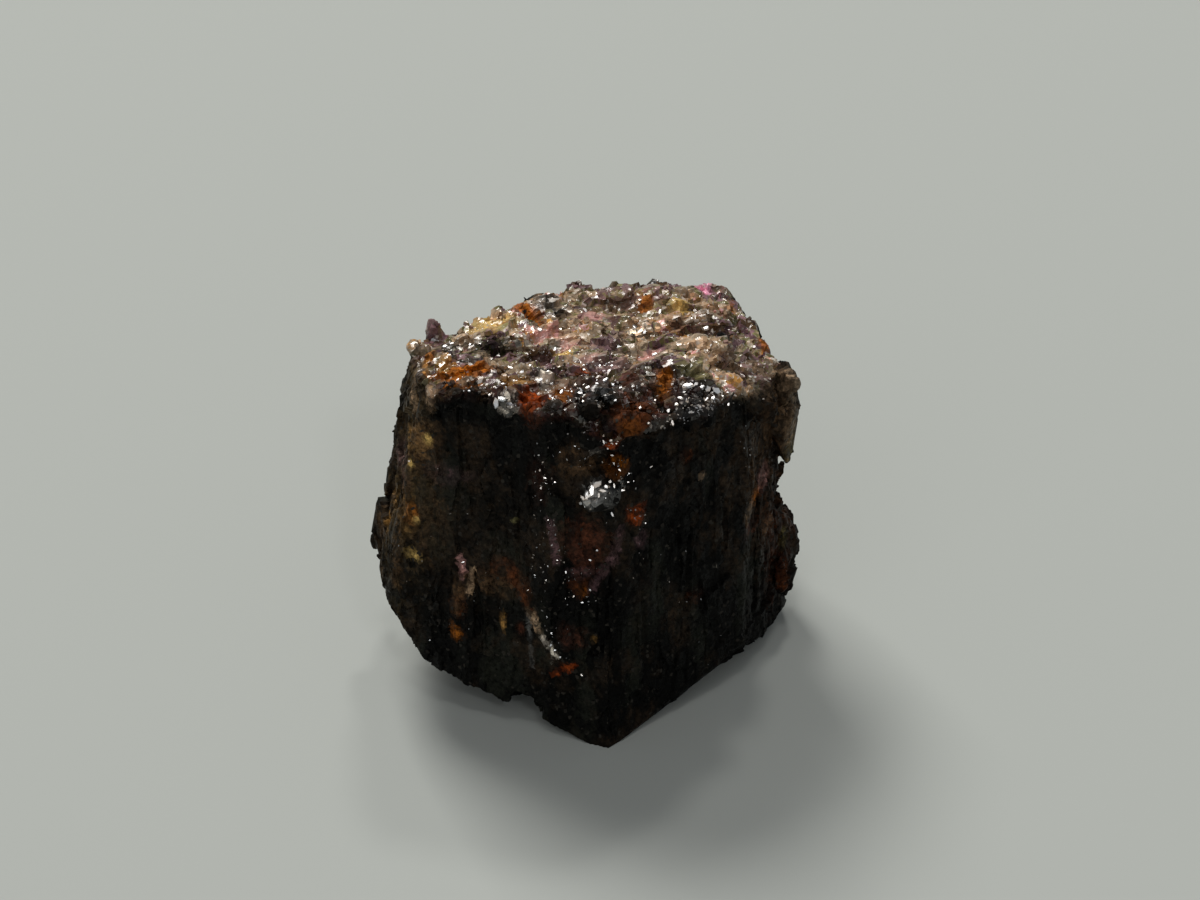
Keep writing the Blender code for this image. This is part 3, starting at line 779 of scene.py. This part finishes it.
# %% Places of the glints
# Single ones: place in the photo, and half width in mm.
GLINTS = (
    (592, 491, 0.085), (597, 485, 0.090), (587, 496, 0.060), (433, 340, 0.048), (445, 347, 0.048),
    (452, 344, 0.032), (478, 382, 0.065), (510, 368, 0.048), (522, 372, 0.048), (516, 374, 0.032),
    (490, 395, 0.032), (497, 403, 0.081), (507, 404, 0.081), (502, 399, 0.065), (636, 327, 0.065),
    (645, 331, 0.048), (706, 328, 0.065), (712, 331, 0.048), (688, 386, 0.081), (695, 384, 0.048),
    (702, 387, 0.048), (708, 388, 0.081), (717, 390, 0.081), (713, 398, 0.048), (668, 410, 0.048),
    (672, 422, 0.048), (676, 404, 0.048), (680, 398, 0.048), (684, 392, 0.032), (584, 370, 0.032),
    (600, 366, 0.032), (612, 366, 0.032), (592, 362, 0.032), (626, 364, 0.032), (570, 352, 0.032),
    (555, 350, 0.048), (561, 392, 0.048), (553, 398, 0.032), (580, 393, 0.048), (588, 388, 0.048),
    (597, 384, 0.032), (606, 380, 0.048), (613, 384, 0.032), (620, 388, 0.032), (575, 404, 0.032),
    (583, 402, 0.032), (763, 399, 0.026), (728, 404, 0.032), (735, 395, 0.032), (530, 366, 0.032),
    (548, 372, 0.032), (540, 380, 0.048), (575, 385, 0.032), (585, 310, 0.048), (600, 360, 0.032),
    (560, 330, 0.048), (540, 330, 0.048), (655, 355, 0.048), (640, 300, 0.032), (660, 312, 0.048),
    (690, 302, 0.032), (615, 400, 0.032), (597, 485, 0.065), (592, 491, 0.052), (603, 491, 0.052),
    (583, 498, 0.045), (599, 496, 0.040), (606, 487, 0.045), (614, 486, 0.035), (610, 482, 0.038),
    (622, 490, 0.038), (588, 497, 0.052), (581, 503, 0.038), (612, 514, 0.038), (545, 478, 0.026),
    (555, 482, 0.026), (540, 470, 0.026), (541, 488, 0.026), (604, 442, 0.032), (611, 440, 0.032),
    (616, 443, 0.026), (608, 448, 0.026), (612, 455, 0.026), (645, 523, 0.026), (651, 467, 0.026),
    (628, 482, 0.026), (597, 550, 0.026), (590, 560, 0.026), (574, 596, 0.026), (582, 602, 0.026),
    (590, 590, 0.026), (566, 572, 0.026), (557, 560, 0.017), (548, 566, 0.017), (552, 545, 0.017),
    (463, 562, 0.026), (410, 461, 0.026), (555, 650, 0.026), (560, 657, 0.026), (551, 645, 0.026),
    (582, 675, 0.026), (551, 633, 0.026), (539, 455, 0.017), (543, 462, 0.017), (541, 500, 0.017),
    (548, 520, 0.017), (546, 580, 0.017), (535, 575, 0.017), (528, 590, 0.017), (430, 640, 0.017),
    (620, 470, 0.026), (614, 464, 0.026), (575, 446, 0.017), (560, 452, 0.017), (700, 407, 0.032),
    (690, 412, 0.032), (722, 396, 0.032), (655, 400, 0.032), (640, 408, 0.032), (648, 423, 0.032),
    (467, 372, 0.032), (458, 380, 0.032), (503, 384, 0.032), (470, 345, 0.032))

# Trails of finer glints: both ends in the photo, how far they stray, how many, and half width.
TRAILS = (
    ((543, 440), (541, 600), 0.15, 44, 0.017),
    ((541, 600), (560, 662), 0.11, 14, 0.019),
    ((553, 520), (566, 575), 0.11, 20, 0.017),
    ((560, 578), (600, 572), 0.09, 12, 0.017),
    ((563, 600), (597, 598), 0.11, 10, 0.019),
    ((738, 420), (750, 470), 0.11, 10, 0.017),
    ((668, 424), (700, 382), 0.09, 20, 0.028),
    ((672, 424), (724, 398), 0.09, 24, 0.026),
    ((684, 401), (722, 392), 0.16, 18, 0.03),
    ((564, 402), (600, 380), 0.09, 12, 0.026),
    ((600, 380), (622, 388), 0.06, 6, 0.024),
    ((452, 376), (502, 396), 0.11, 16, 0.024),
    ((600, 440), (620, 446), 0.09, 12, 0.021),
    ((600, 460), (626, 474), 0.13, 12, 0.019),
    ((582, 504), (630, 478), 0.11, 14, 0.026),
    ((628, 506), (648, 530), 0.11, 8, 0.019),
    ((640, 540), (730, 640), 0.64, 16, 0.017),
    ((400, 480), (540, 640), 0.86, 24, 0.017),
    ((560, 440), (600, 470), 0.3, 14, 0.019),
    ((470, 345), (560, 360), 0.17, 16, 0.024),
    ((560, 366), (640, 362), 0.15, 20, 0.024),
    ((690, 340), (740, 400), 0.3, 16, 0.024),
    ((500, 380), (560, 372), 0.17, 14, 0.021))

# How much of a glint's lean is left to chance, in radians: little for single ones and much in the trails.
SINGLE, TRAILING = 0.1, 0.8

# %% Set the glints
# The directions of the two lamps that the glints mirror, as compass direction and height in degrees.
KEY, FRONT_SPARK = (118, 52), (285, 42)
NEAR = 1.5  # how far in front of and behind its place the skin is looked for, in mm
LIFT = 0.3  # how far a glint's middle stands out of the skin, in half widths
STRAY = 1.4  # the most that one strays in each direction, as a share of the distance in the list

wanted = [(seen_at(x, y), half, SINGLE) for x, y, half in GLINTS]
for number, (first, last, stray, many, half) in enumerate(TRAILS):
    chance = scrambled(np.array([[number, k, 2] for k in range(many)]), 62)
    side = scrambled(np.array([[number, k, 3] for k in range(many)]), 63)
    first = seen_at(*first)
    way = seen_at(*last) - first
    for (along, size, _), sideways in zip(chance, side):
        stray_by = (sideways * 2 - 1) * stray * STRAY
        wanted.append((first + way * along + stray_by, half * (0.4 + 0.8 * size ** 2), TRAILING))

tree_of_skin = BVHTree.FromPolygons(read_points(skin).tolist(), [tuple(f.vertices) for f in skin.polygons])
chips = bmesh.new()
dim_faces = []
for number, (place, half, loose) in enumerate(wanted):
    start = Vector(place) + Vector(TO_CAMERA) * NEAR
    spot, normal, _, _ = tree_of_skin.ray_cast(start, -Vector(TO_CAMERA), 2 * NEAR)
    if spot is None:
        continue
    long, spin, lean = scrambled(np.array([[number, 1, 1]]), 61)[0]
    on_crown = crown_share(np.array([spot]))[0] > 0.5
    # A glint mirrors its lamp when it faces halfway between the lamp and the camera.
    lit_from = facing(*(KEY if on_crown and normal.z > 0.3 else FRONT_SPARK))
    turn = Vector(TO_CAMERA + lit_from).to_track_quat("Z", "X").to_matrix().to_4x4()
    turn = turn @ Matrix.Rotation(loose * (lean - 0.5), 4, "X") @ Matrix.Rotation(TURN * spin, 4, "Z")
    shape = Matrix.Translation(spot + normal * half * LIFT) @ turn
    shape = shape @ Matrix.Diagonal((half * (1 + long), half / (1 + 0.5 * long), half, 1))
    bmesh.ops.create_cone(chips, cap_ends=True, cap_tris=True, segments=5, radius1=1.0, radius2=0.8, depth=0.7,
                          matrix=shape)
    dim_faces += [int(not on_crown and loose == TRAILING)] * (len(chips.faces) - len(dim_faces))
glint_mesh = bpy.data.meshes.new("glints")
chips.to_mesh(glint_mesh)
chips.free()
glints = bpy.data.objects.new("glints", glint_mesh)
scene.collection.objects.link(glints)
# The chips' colours are painted highlights: near white for the bright glints, pale grey for the dim ones.
glint_mesh.materials.append(painted_glint_finish("bright_glints", 0.9))
glint_mesh.materials.append(painted_glint_finish("dim_glints", 0.34))
glint_mesh.polygons.foreach_set("material_index", np.array(dim_faces, np.int32))
print("glints:", len(wanted), "places,", len(glint_mesh.polygons), "faces")

# %% Back to metres
for piece in (glints, grains, crystal):
    write_points(piece.data, to_scene(read_points(piece.data)))
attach(glints, "root")
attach(grains, "root")
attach(crystal, "root")
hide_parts("painite_crystal")
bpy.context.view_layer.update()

# %% [markdown]
# ## The floor, the light and the camera
# The stone stands on a plain pale floor. The key, a large soft light, stands behind it at the left, because the
# crown slopes to the back and only sends light to the camera that comes from there. A weak light above and a wide
# one at the front left lift the shadows, and two small ones, behind and in front, pick out the glints.

# %% Floor
bpy.ops.mesh.primitive_plane_add(size=4.0, location=(0, 0, 0))
floor = bpy.context.object
floor.name = "floor"
pale, pale_tree = blank_material("pale_floor")
surface(pale_tree, {"Base Color": (0.52, 0.55, 0.53, 1), "Roughness": 0.9, "Specular IOR Level": 0.1})
floor.data.materials.append(pale)

# %% Lights
MIDDLE = Vector(to_scene(LOOK_AT))


def lamp(name, azimuth, elevation, distance, size, watts, colour=(1, 1, 1)):
    """A square soft light that looks at the stone; distance and size are in metres."""
    data = bpy.data.lights.new(name, "AREA")
    data.shape, data.size, data.energy, data.color = "SQUARE", size, watts, colour
    made = bpy.data.objects.new(name, data)
    scene.collection.objects.link(made)
    arrow = Vector(facing(azimuth, elevation))
    made.location = MIDDLE + arrow * distance
    made.rotation_euler = (-arrow).to_track_quat("-Z", "Y").to_euler()


lamp("key", *KEY, 0.5, 0.18, 1.6, (1.0, 0.97, 0.92))
lamp("overhead", 262, 74, 0.5, 0.06, 0.15, (1.0, 0.98, 0.95))
lamp("spark", 75, 60, 0.5, 0.05, 0.30, (1.0, 0.97, 0.92))
lamp("fill", 245, 40, 0.6, 0.4, 0.3, (1.0, 0.98, 0.95))
lamp("front_spark", *FRONT_SPARK, 0.5, 0.04, 0.12)
world = bpy.data.worlds.new("pale_air")
world.use_nodes = True
air = world.node_tree.nodes["Background"].inputs
air["Color"].default_value = (0.93, 0.96, 0.97, 1)
air["Strength"].default_value = 0.14
scene.world = world
scene.view_settings.view_transform = "Standard"

# %% Camera
camera_data = bpy.data.cameras.new("camera")
camera_data.lens = LENS
camera_data.sensor_width = FILM
camera_data.clip_start = 0.002
camera_data.clip_end = 10
camera = bpy.data.objects.new("camera", camera_data)
scene.collection.objects.link(camera)
arrow = Vector(TO_CAMERA)
camera.location = MIDDLE + arrow * DISTANCE * MM
camera.rotation_euler = (-arrow).to_track_quat("-Z", "Y").to_euler()
scene.camera = camera
